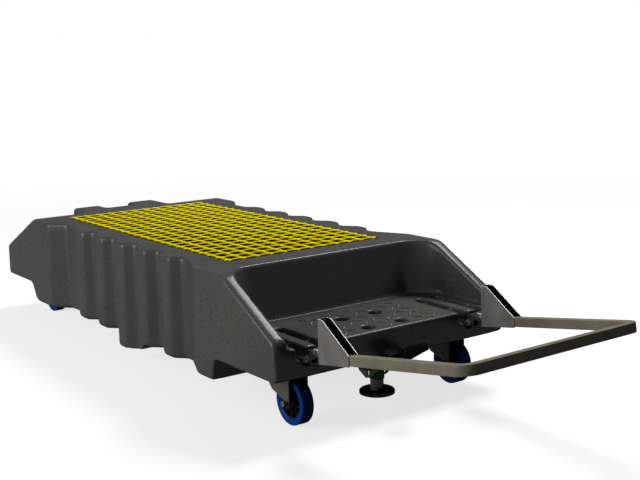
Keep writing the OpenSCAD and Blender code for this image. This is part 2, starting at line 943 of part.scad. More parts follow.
module tyre() {
    rotate_extrude($fn = 96)
        polygon(tyre_section());
}

module bush() {
    difference() {
        cylinder(d = bush_d, h = hub_l, center = true);
        cylinder(d = axle_d + 2 * run_gap, h = hub_l + 2 * eps, center = true);
    }
}

// Axle bolt with its head on the outer side of the trolley
module axle(s) {
    grip = fork_in / 2 + fork_t;
    head_h = 6.5;
    tail = axle_nut_h + 3;
    mirror([0, 0, s < 0 ? 1 : 0]) {
        translate([0, 0, -grip - tail])
            cylinder(d = axle_d, h = 2 * grip + tail);
        translate([0, 0, grip])
            cylinder(d = 1.7 * axle_d, h = head_h, $fn = 6);
    }
}

module axle_nut(s) {
    grip = fork_in / 2 + fork_t;
    mirror([0, 0, s < 0 ? 1 : 0])
        translate([0, 0, -grip - axle_nut_h])
            difference() {
                cylinder(d = 1.7 * axle_d, h = axle_nut_h, $fn = 6);
                translate([0, 0, -eps])
                    cylinder(d = axle_d, h = axle_nut_h + 2 * eps);
            }
}

// Plate outline between two circles and their outer tangents
module link_2d(a, ra, b, rb) {
    way = b - a;
    turn = atan2(way[1], way[0]);
    lift = acos((ra - rb) / norm(way));
    n = [for (k = [1, -1]) [cos(turn + k * lift), sin(turn + k * lift)]];
    translate(a)
        circle(ra);
    translate(b)
        circle(rb);
    polygon([a + ra * n[0], b + rb * n[0], b + rb * n[1], a + ra * n[1]]);
}

// Casters

module front_plate(s) {
    color(zinc)
        translate([s * front_x, swivel_abs, 0])
            difference() {
                union() {
                    translate([-plate_w / 2, -plate_l / 2, plate_z])
                        cube([plate_w, plate_l, plate_t]);
                    translate([0, 0, plate_z - 3])
                        cylinder(d1 = swivel_d - 14, d2 = swivel_d - 6, h = 3);
                }
                plate_holes(plate_z - 4 - eps, plate_t + 4 + 2 * eps, bolt_d + 0.4);
                translate([0, 0, plate_z - 4])
                    cylinder(d = kingpin_d, h = plate_t + 4 + eps);
            }
}

// Ring of the swivel bearing, between the plate and the fork's crown
module swivel_ring(s) {
    ring_top = plate_z - 3;
    color(zinc)
        translate([s * front_x, swivel_abs, 0])
            difference() {
                translate([0, 0, crown_z + fork_t + 0.3])
                    cylinder(d = swivel_d - 4, h = ring_top - crown_z - fork_t - 0.3);
                translate([0, 0, crown_z])
                    cylinder(d = kingpin_d, h = 20);
            }
}

module kingpin(s) {
    color(zinc)
        translate([s * front_x, swivel_abs, 0]) {
            translate([0, 0, crown_z - 6])
                cylinder(d = kingpin_d, h = under_h - crown_z + 6 - 0.5);
            translate([0, 0, crown_z - 6])
                cylinder(d = kingpin_d + 8, h = 5.7);
        }
}

// Point where the line from p touches the circle of radius r around c, on side s
function touch(p, c, r, s) =
    let (
        way = p - c,
        turn = atan2(way[1], way[0]) + s * acos(r / norm(way))
    )
    c + r * [cos(turn), sin(turn)];

// Side view of a fork leg: straight top edge from a to b, sides that run on to the circle at the axle
module leg_2d(a, b, hub) {
    translate(hub)
        circle(leg_r);
    polygon([a, b, touch(b, hub, leg_r, -1), touch(a, hub, leg_r, 1)]);
}

// Side view of a front fork's leg: upright front edge, narrow tongue at the axle, lower edge that rises
module front_leg_2d(crown_top, crown_back) {
    low = axle_z + leg_skirt;
    bend = low + leg_rise;
    translate([-trail, axle_z])
        circle(tongue_r);
    polygon([
        [-trail - leg_lead, crown_top],
        [-trail - leg_lead, low],
        [-trail - tongue_r, low],
        [-trail - tongue_r, axle_z],
        [-trail + tongue_r, axle_z],
        [-trail + tongue_r, low],
        [leg_back - corner_rise, bend],
        [leg_back, bend + corner_rise],
        [crown_back, crown_top]
    ]);
}

module front_fork(s) {
    crown_top = crown_z + fork_t;
    crown_front = -trail - leg_lead;
    crown_back = swivel_d / 2 - 8;
    color(zinc)
        translate([s * front_x, swivel_abs, 0])
            difference() {
                union() {
                    translate([0, 0, crown_z])
                        cylinder(d = swivel_d, h = fork_t);
                    translate([-fork_in / 2 - fork_t, crown_front, crown_z])
                        cube([fork_in + 2 * fork_t, crown_back - crown_front, fork_t]);
                    for (e = [0, 1])
                        mirror([e, 0, 0])
                            translate([fork_in / 2, 0, 0])
                                rotate([90, 0, 90])
                                    linear_extrude(fork_t)
                                        front_leg_2d(crown_top, crown_back);
                }
                translate([-far / 2, -trail, axle_z])
                    rotate([0, 90, 0])
                        cylinder(d = axle_d, h = far);
                translate([0, 0, crown_z - eps])
                    cylinder(d = kingpin_d + 2 * run_gap, h = fork_t + 2 * eps);
            }
}

module rear_fork(s) {
    leg_top = plate_l / 2 - 16;
    color(zinc)
        translate([s * rear_x, rear_axle_abs, 0])
            difference() {
                union() {
                    translate([-plate_w / 2, -plate_l / 2, plate_z])
                        cube([plate_w, plate_l, plate_t]);
                    for (e = [0, 1])
                        mirror([e, 0, 0])
                            translate([fork_in / 2, 0, 0])
                                rotate([90, 0, 90])
                                    linear_extrude(fork_t)
                                        leg_2d([-leg_top, plate_z + eps], [leg_top, plate_z + eps], [0, axle_z]);
                }
                translate([-far / 2, 0, axle_z])
                    rotate([0, 90, 0])
                        cylinder(d = axle_d, h = far);
                plate_holes(plate_z - eps, plate_t + 2 * eps, bolt_d + 0.4);
            }
}

// Hexagon screws through every top plate into the body
module plate_bolts() {
    color(zinc) {
        at_plates()
            plate_screws(plate_z);
        translate([0, lock_abs, 0])
            plate_screws(lock_plate_z);
    }
}

module plate_screws(z) {
    plate_holes(z, under_h + screw_l - z, bolt_d - 0.2);
    for (x = [-1, 1], y = [-1, 1])
        translate([x * plate_bolt_x / 2, y * plate_bolt_y / 2, z - hex_h])
            cylinder(d = hex_d, h = hex_h, $fn = 6);
}

// Floor lock

// Slot for the cross pin, cut sideways through everything
module cross_slot(play) {
    low = cross_z - foot_travel - lock_pin_d / 2 - play;
    high = cross_z + lock_pin_d / 2 + play;
    translate([-far / 2, lock_abs - lock_pin_d / 2 - play, low])
        cube([far, lock_pin_d + 2 * play, high - low]);
}

module lock_housing() {
    // Heights of the side plates' front knee, front belly and rear knee over their lowest point
    knee = 32;
    belly = 4;
    rear_knee = 13;
    side = [
        [-side_half, lock_plate_z + eps],
        [-side_half + 2, side_mid_h],
        [-side_half + 8, side_low_h + knee],
        [-5, side_low_h + belly],
        [12, side_low_h],
        [side_half - 12, side_low_h + rear_knee],
        [side_half, side_mid_h],
        [side_half, lock_plate_z + eps]
    ];
    color(steel)
        difference() {
            union() {
                translate([-plate_w / 2, lock_abs - plate_l / 2, lock_plate_z])
                    cube([plate_w, plate_l, lock_plate_t]);
                for (e = [0, 1])
                    mirror([e, 0, 0])
                        translate([side_x, lock_abs, 0])
                            rotate([90, 0, 90])
                                linear_extrude(side_t)
                                    polygon(side);
            }
            translate([0, lock_abs, 0])
                plate_holes(lock_plate_z - eps, lock_plate_t + 2 * eps, bolt_d + 0.4);
            cross_slot(0.4);
            translate([-far / 2, pivot_abs, pivot_z])
                rotate([0, 90, 0])
                    cylinder(d = lock_pin_d, h = far);
        }
}

module lock_sleeve() {
    color(green)
        difference() {
            translate([0, lock_abs, sleeve_h])
                cylinder(d = stem_d + 2 * run_gap + 2 * sleeve_t, h = lock_plate_z - sleeve_h);
            translate([0, lock_abs, sleeve_h - eps])
                cylinder(d = stem_d + 2 * run_gap, h = lock_plate_z - sleeve_h + 2 * eps);
            cross_slot(0.4);
        }
}

module lock_stem() {
    foot_top = foot_lift + foot_t;
    color(zinc)
        difference() {
            translate([0, lock_abs, foot_top])
                cylinder(d = stem_d, h = cross_z + 16 - foot_top);
            translate([-far / 2, lock_abs, cross_z])
                rotate([0, 90, 0])
                    cylinder(d = lock_pin_d, h = far);
        }
}

module lock_foot() {
    rim_r = foot_d / 2;
    sole = foot_lift + 1.5;
    // The rim's notch, turned from the front towards -X
    notch_turn = 52;
    color(black)
        difference() {
            translate([0, lock_abs, 0])
                rotate_extrude($fn = 96)
                    polygon([
                        [0, sole],
                        [rim_r, sole],
                        [rim_r, foot_lift + foot_t - 2],
                        [rim_r - 2, foot_lift + foot_t],
                        [0, foot_lift + foot_t]
                    ]);
            translate([0, lock_abs, foot_lift])
                cylinder(r = rim_r - 4, h = 4.5);
            translate([0, lock_abs, foot_lift + foot_t / 2])
                rotate(-notch_turn)
                    translate([0, -rim_r, 0])
                        cube([6, 8, foot_t + eps], center = true);
        }
}

module lock_pad() {
    color(black)
        translate([0, lock_abs, foot_lift])
            cylinder(r = foot_d / 2 - 4, h = 4.5);
}

module lock_cross_pin() {
    reach = side_x + side_t + pedal_t + 3;
    color(zinc)
        translate([-reach, lock_abs, cross_z])
            rotate([0, 90, 0])
                cylinder(d = lock_pin_d, h = 2 * reach);
}

module lock_pivot_pin() {
    reach = side_x + side_t + pedal_t + 1;
    color(zinc)
        translate([-reach, pivot_abs, pivot_z])
            rotate([0, 90, 0]) {
                cylinder(d = lock_pin_d, h = 2 * reach);
                for (z = [-2, 2 * reach])
                    translate([0, 0, z])
                        cylinder(d = lock_pin_d + 4, h = 2);
            }
}

// Points of a pedal arm: pivot, slot, bend under the body's edge, tip
function pedal_points() = [
    [pivot_abs, pivot_z],
    [lock_abs, cross_z],
    [front_y + bend_y, bend_h],
    [front_y - tip_out, tip_h]
];

module lock_pedal() {
    points = pedal_points();
    arm_r = [11, 11, 8, 7];
    arm_x = side_x + side_t + 0.5;
    play = 1.2;
    slide = 7;
    color(black)
        difference() {
            union() {
                for (e = [0, 1])
                    mirror([e, 0, 0])
                        translate([arm_x, 0, 0])
                            rotate([90, 0, 90])
                                linear_extrude(pedal_t)
                                    union() {
                                        for (i = [0:2])
                                            link_2d(points[i], arm_r[i], points[i + 1], arm_r[i + 1]);
                                    }
                translate([-arm_x - eps, points[3][0], points[3][1]])
                    rotate([0, 90, 0])
                        cylinder(r = 5, h = 2 * (arm_x + eps));
            }
            translate([-far / 2, pivot_abs, pivot_z])
                rotate([0, 90, 0])
                    cylinder(d = lock_pin_d + 2 * run_gap, h = far);
            translate([-far / 2, lock_abs - lock_pin_d / 2 - slide, cross_z - lock_pin_d / 2 - play])
                cube([far, lock_pin_d + 2 * slide, lock_pin_d + 2 * play]);
        }
}

// Ribbed rubber tread on the pedal's tip
module lock_pedal_tread() {
    tip = pedal_points()[3];
    rise = 30;
    tread_depth = 34;
    tread_front = 22;
    tread_t = 16;
    ridge_pitch = 8;
    color(black)
        translate([0, tip[0], tip[1]])
            rotate([-rise, 0, 0])
                difference() {
                    union() {
                        translate([-pedal_w / 2, -tread_front, -tread_t / 2])
                            cube([pedal_w, tread_depth, tread_t]);
                        for (i = [0:3])
                            translate([-pedal_w / 2, -tread_front + 3 + i * ridge_pitch, tread_t / 2 - eps])
                                cube([pedal_w, ridge_pitch / 2, 3]);
                    }
                    translate([-pedal_w, 0, 0])
                        rotate([0, 90, 0])
                            cylinder(r = 5, h = 2 * pedal_w);
                }
}

// Every node by name

body_shell();
grating();
mount_tube(-1);  // mount_tube_left
mount_tube(1);  // mount_tube_right
hinge_lug(-1);  // hinge_lug_left
hinge_lug(1);  // hinge_lug_right
hinge_pin(-1);  // hinge_pin_left
hinge_pin(1);  // hinge_pin_right
tube_bolts();
tube_nuts();
handle_tube();
gusset(-1);  // gusset_left
gusset(1);  // gusset_right
front_plate(-1);  // front_plate_left
front_plate(1);  // front_plate_right
swivel_ring(-1);  // swivel_ring_left
swivel_ring(1);  // swivel_ring_right
kingpin(-1);  // kingpin_left
kingpin(1);  // kingpin_right
front_fork(-1);  // front_fork_left
front_fork(1);  // front_fork_right
color(zinc) on_axle(-1, front_axle_at) axle(-1);  // front_axle_left
color(zinc) on_axle(1, front_axle_at) axle(1);  // front_axle_right
color(zinc) on_axle(-1, front_axle_at) axle_nut(-1);  // front_axle_nut_left
color(zinc) on_axle(1, front_axle_at) axle_nut(1);  // front_axle_nut_right
color(black) on_axle(-1, front_axle_at) rim();  // front_rim_left
color(black) on_axle(1, front_axle_at) rim();  // front_rim_right
color(blue) on_axle(-1, front_axle_at) tyre();  // front_tyre_left
color(blue) on_axle(1, front_axle_at) tyre();  // front_tyre_right
color(steel) on_axle(-1, front_axle_at) bush();  // front_bush_left
color(steel) on_axle(1, front_axle_at) bush();  // front_bush_right
rear_fork(-1);  // rear_fork_left
rear_fork(1);  // rear_fork_right
color(zinc) on_axle(-1, rear_axle_at) axle(-1);  // rear_axle_left
color(zinc) on_axle(1, rear_axle_at) axle(1);  // rear_axle_right
color(zinc) on_axle(-1, rear_axle_at) axle_nut(-1);  // rear_axle_nut_left
color(zinc) on_axle(1, rear_axle_at) axle_nut(1);  // rear_axle_nut_right
color(black) on_axle(-1, rear_axle_at) rim();  // rear_rim_left
color(black) on_axle(1, rear_axle_at) rim();  // rear_rim_right
color(blue) on_axle(-1, rear_axle_at) tyre();  // rear_tyre_left
color(blue) on_axle(1, rear_axle_at) tyre();  // rear_tyre_right
color(steel) on_axle(-1, rear_axle_at) bush();  // rear_bush_left
color(steel) on_axle(1, rear_axle_at) bush();  // rear_bush_right
plate_bolts();
lock_housing();
lock_sleeve();
lock_stem();
lock_foot();
lock_pad();
lock_cross_pin();
lock_pedal();
lock_pedal_tread();
lock_pivot_pin();
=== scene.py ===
# %% [markdown]
# # Waste oil trolley
# A low trolley moulded in dark polyethylene. Cans are emptied over its yellow grating, and the oil
# runs into the sump below. A bent tube handle pulls it on four blue-tyred wheels, and a floor lock
# with a pedal holds it in place. The CAD frame gives every size. This script gives the looks:
# softer edges where a mould rounds them, and a material for every piece.

import json
import math

import bmesh
import bpy
from mathutils import Matrix, Vector
from mathutils.kdtree import KDTree

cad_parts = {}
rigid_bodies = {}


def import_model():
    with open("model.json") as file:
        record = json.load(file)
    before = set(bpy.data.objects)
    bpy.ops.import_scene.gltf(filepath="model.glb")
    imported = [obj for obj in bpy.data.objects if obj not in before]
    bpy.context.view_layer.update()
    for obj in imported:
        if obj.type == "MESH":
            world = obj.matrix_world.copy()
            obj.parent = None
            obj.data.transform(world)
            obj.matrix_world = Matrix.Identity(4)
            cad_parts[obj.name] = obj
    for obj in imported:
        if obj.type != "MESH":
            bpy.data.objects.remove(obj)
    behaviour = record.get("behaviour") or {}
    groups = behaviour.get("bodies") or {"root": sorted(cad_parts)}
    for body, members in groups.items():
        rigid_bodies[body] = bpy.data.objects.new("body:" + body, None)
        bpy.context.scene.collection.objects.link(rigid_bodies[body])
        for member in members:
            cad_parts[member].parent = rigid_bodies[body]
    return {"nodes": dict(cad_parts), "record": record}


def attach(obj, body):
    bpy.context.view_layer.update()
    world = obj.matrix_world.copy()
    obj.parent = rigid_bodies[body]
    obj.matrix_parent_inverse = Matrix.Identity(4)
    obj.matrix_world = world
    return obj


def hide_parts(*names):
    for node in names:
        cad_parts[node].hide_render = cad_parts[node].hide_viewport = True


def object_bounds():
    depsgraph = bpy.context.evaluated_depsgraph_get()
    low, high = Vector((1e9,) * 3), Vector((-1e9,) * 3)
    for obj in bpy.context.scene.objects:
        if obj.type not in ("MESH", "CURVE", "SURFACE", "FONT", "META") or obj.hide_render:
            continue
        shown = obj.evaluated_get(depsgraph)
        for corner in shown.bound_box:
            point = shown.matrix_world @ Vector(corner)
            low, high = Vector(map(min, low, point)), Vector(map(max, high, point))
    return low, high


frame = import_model()
NODES = frame["nodes"]
CAD_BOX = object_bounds()
MM = 0.001
least, most = ([round(v, 3) for v in corner] for corner in CAD_BOX)
print(f"{len(NODES)} CAD nodes, box {least} to {most}")

# %% [markdown]
# ## Camera
# The photograph looks along the trolley from its front left corner, just above it. Azimuth,
# elevation and roll were solved from the squares of the grating. Writing the camera's three axes
# straight into its matrix keeps that roll, which a Track To constraint would lose.

# %% Camera at the photograph's place
CAMERA_PLACE = Vector((-1.4391, -2.2630, 0.7795))
AZIMUTH, ELEVATION, ROLL = math.radians(-35.57), math.radians(10.07), math.radians(-1.52)
LENS, SENSOR = 60.54, 36

away = Vector((
    math.sin(AZIMUTH) * math.cos(ELEVATION),
    -math.cos(AZIMUTH) * math.cos(ELEVATION),
    math.sin(ELEVATION),
))
level = Vector((math.cos(AZIMUTH), math.sin(AZIMUTH), 0))
rise = away.cross(level)
right = math.cos(ROLL) * level + math.sin(ROLL) * rise
up = -math.sin(ROLL) * level + math.cos(ROLL) * rise

camera = bpy.data.objects.new("camera", bpy.data.cameras.new("camera"))
camera.data.sensor_width = SENSOR
camera.data.sensor_fit = "HORIZONTAL"
camera.data.lens = LENS
camera.matrix_world = Matrix.Translation(CAMERA_PLACE) @ Matrix((right, up, away)).transposed().to_4x4()
bpy.context.scene.collection.objects.link(camera)
bpy.context.scene.camera = camera
bpy.context.scene.view_settings.view_transform = "Standard"
print(f"camera {LENS} mm, {CAMERA_PLACE.length:.2f} m from the origin")

# %% [markdown]
# ## Nodes in a line or two
# A material is a small graph of nodes, and so is the world. Typed out in full, each node takes
# several lines. One helper adds a node with its settings and its links at once, and another takes
# a colour as a paint program writes it.


# %% Add a node, write a colour
def add(tree, kind, inputs=None, **settings):
    """Adds a node. inputs are {socket name or number: value, or the socket to link from}."""
    node = tree.nodes.new("ShaderNode" + kind)
    for key, value in settings.items():
        setattr(node, key, value)
    for key, value in (inputs or {}).items():
        if isinstance(value, bpy.types.NodeSocket):
            tree.links.new(value, node.inputs[key])
        else:
            node.inputs[key].default_value = value
    return node


def rgb(red, green, blue):
    """A colour of 0 to 255, made linear for the shader."""
    line = [v / 255 for v in (red, green, blue)]
    return [v / 12.92 if v <= 0.04045 else ((v + 0.055) / 1.055) ** 2.4 for v in line] + [1]


# %% Places, ranges and mixes
def place_of(tree):
    """Coordinates in the piece's own space, in metres."""
    return add(tree, "TexCoord").outputs["Object"]


def remap(tree, value, low, high, to_low, to_high):
    """A value stretched from one range to another, and held at its ends."""
    inputs = {"Value": value, "From Min": low, "From Max": high, "To Min": to_low, "To Max": to_high}
    return add(tree, "MapRange", inputs).outputs["Result"]


def blend(tree, share, a, b, way="MIX"):
    """Two colours mixed by a share. Each is a value or a socket."""
    node = add(tree, "Mix", data_type="RGBA", blend_type=way)
    for socket, value in zip((node.inputs[0], node.inputs[6], node.inputs[7]), (share, a, b)):
        if isinstance(value, bpy.types.NodeSocket):
            tree.links.new(value, socket)
        else:
            socket.default_value = value
    return node.outputs[2]


# %% [markdown]
# ## A white page behind a dark trolley
# The photograph has a white background, yet the faces that look down or forward are dark. Strong
# light on a white floor would brighten them. Light Path tells what kind of ray asks for a colour:
# rays from the camera, from reflections and through glass get the white page, and all others,
# which carry the light, get something darker.


# %% Tell the rays that show the background
def seen_ray(tree):
    """1 for the rays of the camera, of reflections and through glass, 0 for the others."""
    ray = add(tree, "LightPath").outputs
    total = ray["Is Camera Ray"]
    for kind in ("Is Glossy Ray", "Is Transmission Ray"):
        total = add(tree, "Math", {0: total, 1: ray[kind]}, operation="ADD", use_clamp=True).outputs[0]
    return total


# %% [markdown]
# ## Meshes made by operators
# Every new shape here starts as a bmesh, a mesh in the making that operators such as extrude and
# bevel work on. The same tools exist in edit mode, but there they need a window and a selection.
# At the end the bmesh is written into an object, which one helper does for all.


# %% From a bmesh to an object
def object_of(name, mesh):
    """An object in the scene that holds a bmesh. The bmesh is freed."""
    made = bpy.data.objects.new(name, bpy.data.meshes.new(name))
    mesh.to_mesh(made.data)
    mesh.free()
    bpy.context.scene.collection.objects.link(made)
    return made


# %% [markdown]
# ## Floor
# A flat disc takes the trolley's shadow. Part of its colour is a plain white emission, more of it
# further out, so that the disc runs into the backdrop without a horizon. The rest is a matt
# surface, pale where it is seen and darker for the light that bounces off it.

# %% Floor
FLOOR_RADIUS = 30
WHITER_FROM, WHITE_FROM = 1.2, 4.0
LEAST_WHITE = 0.74
BOUNCING, SEEN = rgb(60, 60, 62), rgb(240, 240, 240)

disc = bmesh.new()
bmesh.ops.create_circle(disc, cap_ends=True, radius=FLOOR_RADIUS, segments=96)
floor = object_of("floor", disc)

floor_material = bpy.data.materials.new("floor")
floor_material.use_nodes = True
tree = floor_material.node_tree
tree.nodes.clear()
seen = seen_ray(tree)
distance = add(tree, "VectorMath", {0: place_of(tree)}, operation="LENGTH").outputs["Value"]
share = remap(tree, distance, WHITER_FROM, WHITE_FROM, LEAST_WHITE, 1.0)
share = add(tree, "Math", {0: seen, 1: share}, operation="MULTIPLY").outputs[0]
matt = add(tree, "BsdfDiffuse", {"Color": blend(tree, seen, BOUNCING, SEEN)})
white = add(tree, "Emission", {"Color": (1, 1, 1, 1), "Strength": 1.0})
both = add(tree, "MixShader", {0: share, 1: matt.outputs[0], 2: white.outputs[0]})
add(tree, "OutputMaterial", {"Surface": both.outputs[0]})
floor.data.materials.append(floor_material)
print(f"floor: a disc of {FLOOR_RADIUS} m, all white from {WHITE_FROM} m outward")

# %% [markdown]
# ## World
# The backdrop is white, by the same trick. The light of the world comes mostly from one side: it
# grows as a direction turns toward the left, the rear and above, and is nearly nothing elsewhere.
# A picture of a studio could light the scene too, but it would be one more file to keep.

# %% World
BRIGHT_WAY = (-0.40, 0.60, 0.69)
DARK_UNTIL, BRIGHT_AT = 0.25, 1.0
WEAKEST, STRONGEST = 0.01, 0.4

world = bpy.data.worlds.new("studio")
bpy.context.scene.world = world
world.use_nodes = True
tree = world.node_tree
tree.nodes.clear()
way = add(tree, "TexCoord").outputs["Generated"]
toward = add(tree, "VectorMath", {0: way, 1: BRIGHT_WAY}, operation="DOT_PRODUCT").outputs["Value"]
strength = remap(tree, toward, DARK_UNTIL, BRIGHT_AT, WEAKEST, STRONGEST)
room = add(tree, "Background", {"Color": (1, 1, 1, 1), "Strength": strength})
backdrop = add(tree, "Background", {"Color": (1, 1, 1, 1), "Strength": 1.0})
both = add(tree, "MixShader", {0: seen_ray(tree), 1: room.outputs[0], 2: backdrop.outputs[0]})
add(tree, "OutputWorld", {"Surface": both.outputs[0]})
print(f"world: light from {WEAKEST} to {STRONGEST}")

# %% [markdown]
# ## Lamps
# In the photograph the slopes of the cheeks are pale, the long side is middling and the front is
# dark. A wide lamp far out on the left lights the side and the slopes. A smaller one above the
# right lights what faces up. Each is turned toward a point on the trolley, so that its place can
# be changed without working out angles.


# %% Lamps
def softbox(name, place, target, width, height, power):
    """A flat lamp of so many watts, turned toward its target."""
    lamp = bpy.data.objects.new(name, bpy.data.lights.new(name, "AREA"))
    lamp.data.shape = "RECTANGLE"
    lamp.data.size = width
    lamp.data.size_y = height
    lamp.data.energy = power
    lamp.location = place
    lamp.rotation_euler = (Vector(target) - Vector(place)).to_track_quat("-Z", "Y").to_euler()
    bpy.context.scene.collection.objects.link(lamp)
    print(f"lamp {name}: {width} x {height} m, {power} W")


softbox("key", (-3.9, 0.9, 1.2), (0, 0.1, 0.15), 2.4, 2.4, 175)
softbox("top", (1.9, 0.48, 3.05), (0, -0.4, 0.2), 1.0, 1.0, 165)

# %% [markdown]
# ## A matt body under a faint coat
# Against a white backdrop, an ordinary gloss turns every face pale that is seen at a low angle, and
# the photograph's deck is dark. So each material starts with no gloss of its own under a faint
# coat. The coat's index of 4 is chosen for the look and isn't that of a real varnish: it reflects
# nearly as much head-on as at low angles, so a small weight still gives highlights. Steel isn't
# metallic here for the same reason: it would mirror the backdrop.


# %% The start of every material
def start_material(name, roughness, coat, coat_roughness=0.3):
    """A new material with its node tree and its shader."""
    material = bpy.data.materials.new(name)
    material.use_nodes = True
    shader = material.node_tree.nodes["Principled BSDF"]
    settings = {
        "Roughness": roughness, "Specular IOR Level": 0.0,
        "Coat Weight": coat, "Coat Roughness": coat_roughness, "Coat IOR": 4.0,
    }
    for socket, value in settings.items():
        shader.inputs[socket].default_value = value
    return material, material.node_tree, shader


# %% Noise, colours along it, and grain
def noise(tree, scale, detail=3.0, roughness=0.5):
    """Noise with about scale lumps to the metre."""
    inputs = {"Vector": place_of(tree), "Scale": scale, "Detail": detail, "Roughness": roughness}
    return add(tree, "TexNoise", inputs).outputs["Fac"]


def ramp(tree, value, *stops):
    """Colours along a value: stops are (position, colour)."""
    node = add(tree, "ValToRGB", {"Fac": value})
    points = node.color_ramp.elements
    while len(points) < len(stops):
        points.new(1.0)
    for point, (position, colour) in zip(points, stops):
        point.position = position
        point.color = colour
    return node.outputs["Color"]


def add_grain(tree, shader, height, strength, depth):
    """A bump of so many metres from a height between 0 and 1."""
    bump = add(tree, "Bump", {"Height": height, "Strength": strength, "Distance": depth})
    tree.links.new(bump.outputs["Normal"], shader.inputs["Normal"])


# %% [markdown]
# ## Dark polyethylene
# The moulded body is dark grey with a fine speckle, and its skin is grained like orange peel. Four
# noises make that: a coarse one for the tone, a fine one for the speckle, one for the gloss and
# the finest for the grain. A painted texture would need the body unwrapped first. Noise needs only
# the place in the piece, so it has no seams.


# %% Dark polyethylene
def polyethylene():
    """Speckled tone, fine grain and an uneven satin gloss."""
    material, tree, shader = start_material("polyethylene", 0.5, coat=0.03, coat_roughness=0.25)
    tone = ramp(tree, noise(tree, 5, 4), (0.3, rgb(68, 68, 68)), (0.7, rgb(76, 76, 75)))
    fleck = ramp(tree, noise(tree, 420, 3, 0.7), (0.38, rgb(158, 157, 156)), (0.62, rgb(255, 255, 255)))
    tree.links.new(blend(tree, 0.8, tone, fleck, "MULTIPLY"), shader.inputs["Base Color"])
    tree.links.new(remap(tree, noise(tree, 40, 4), 0.3, 0.7, 0.36, 0.5), shader.inputs["Roughness"])
    add_grain(tree, shader, noise(tree, 700, 3, 0.6), 0.35, 0.5 * MM)
    return material


# %% [markdown]
# ## Yellow of the grating
# The bars are bright yellow on top, and their walls get darker further down. That darkening is
# painted shade: the height above the floor picks the colour. A thin cloud over it keeps the yellow
# from looking printed.

# %% Yellow of the grating
GRATING_LOW, GRATING_HIGH = 283 * MM, 313 * MM
# Yellow that darkens towards the bars' foot: painted shade on the walls
YELLOWS_WITH_PAINTED_SHADE = (
    (0.0, rgb(48, 41, 0)), (0.55, rgb(84, 74, 0)), (0.92, rgb(122, 110, 2)), (1.0, rgb(198, 182, 5)),
)


def grating_yellow():
    """Yellow by height, darker further down as painted shade, with the last step just under the bars'
    upper face.
    """
    material, tree, shader = start_material("grating_yellow", 0.5, coat=0.01)
    height = add(tree, "SeparateXYZ", {"Vector": place_of(tree)}).outputs["Z"]
    colour = ramp(tree, remap(tree, height, GRATING_LOW, GRATING_HIGH - 0.2 * MM, 0.0, 1.0), *YELLOWS_WITH_PAINTED_SHADE)
    cloud = ramp(tree, noise(tree, 60, 4), (0.3, rgb(228, 228, 228)), (0.65, rgb(255, 255, 255)))
    tree.links.new(blend(tree, 0.8, colour, cloud, "MULTIPLY"), shader.inputs["Base Color"])
    tree.links.new(remap(tree, noise(tree, 80, 4), 0.3, 0.7, 0.42, 0.6), shader.inputs["Roughness"])
    add_grain(tree, shader, noise(tree, 600, 2), 0.2, 0.2 * MM)
    return material


# %% [markdown]
# ## Steel, tyres and small plastic pieces
# Each of these is of one colour, but no real surface is quite even. One function gives them all a
# cloudy tone, an uneven gloss and a fine grain, so that only colour, roughness and coat have to be
# chosen for each.


# %% A material of one colour
def plain(name, colour, roughness, coat, grain=600, spread=0.12):
    """A cloudy tone round one colour, with so many grains to the metre."""
    material, tree, shader = start_material(name, roughness, coat, roughness * 0.7)
    dark, pale = ([v * (1 + change) for v in colour[:3]] + [1] for change in (-spread, spread))
    tree.links.new(ramp(tree, noise(tree, 25, 4), (0.3, dark), (0.7, pale)), shader.inputs["Base Color"])
    gloss = remap(tree, noise(tree, grain / 8, 4), 0.3, 0.7, roughness * 0.8, roughness * 1.25)
    tree.links.new(gloss, shader.inputs["Roughness"])
    add_grain(tree, shader, noise(tree, grain, 2), 0.2, 0.2 * MM)
    return material


# %% One material for each slot
MATERIALS = {
    "polyethylene": polyethylene(),
    "grating_yellow": grating_yellow(),
    "stainless": plain("stainless", rgb(104, 99, 86), 0.3, 0.03, grain=900),
    "zinc": plain("zinc", rgb(88, 86, 82), 0.35, 0.04),
    "blue_tyre": plain("blue_tyre", rgb(4, 48, 112), 0.5, 0.008),
    "black_nylon": plain("black_nylon", rgb(22, 22, 23), 0.45, 0.01),
    "green_plastic": plain("green_plastic", rgb(13, 74, 44), 0.4, 0.015),
    "black_steel": plain("black_steel", rgb(12, 12, 12), 0.3, 0.02),
    "black_rubber": plain("black_rubber", rgb(18, 18, 18), 0.6, 0.005),
}
print(f"{len(MATERIALS)} materials for slots")

# %% [markdown]
# ## Pieces that look unlike their slot
# In the photograph some steel pieces are greyer or brighter than the handle, and some faces of a
# piece are nearly black or nearly white. Most of that is light: the darker fork, lug and tube paint
# the shade they stand in, the bolts' pale steel paints a glint, and the black and white gusset
# faces paint shade and highlight. They get materials of their own, and the slot, which says
# what a piece is made of, stays as it is.

# %% Looks of single pieces and faces
OTHER_LOOKS = {
    # The fork, lug and tube steels are darker than the handle: painted shade
    "_fork_": plain("fork_steel_painted_shade", rgb(72, 70, 66), 0.4, 0.03),
    "gusset": plain("sheet_steel", rgb(94, 93, 90), 0.32, 0.05),
    "hinge_lug": plain("lug_steel_painted_shade", rgb(60, 59, 57), 0.35, 0.04),
    "mount_tube": plain("tube_steel_painted_shade", rgb(76, 75, 72), 0.35, 0.05),
    # The bolts' pale steel is a painted highlight
    "tube_bolts": plain("bolt_steel_painted_glint", rgb(150, 150, 154), 0.2, 0.1),
}
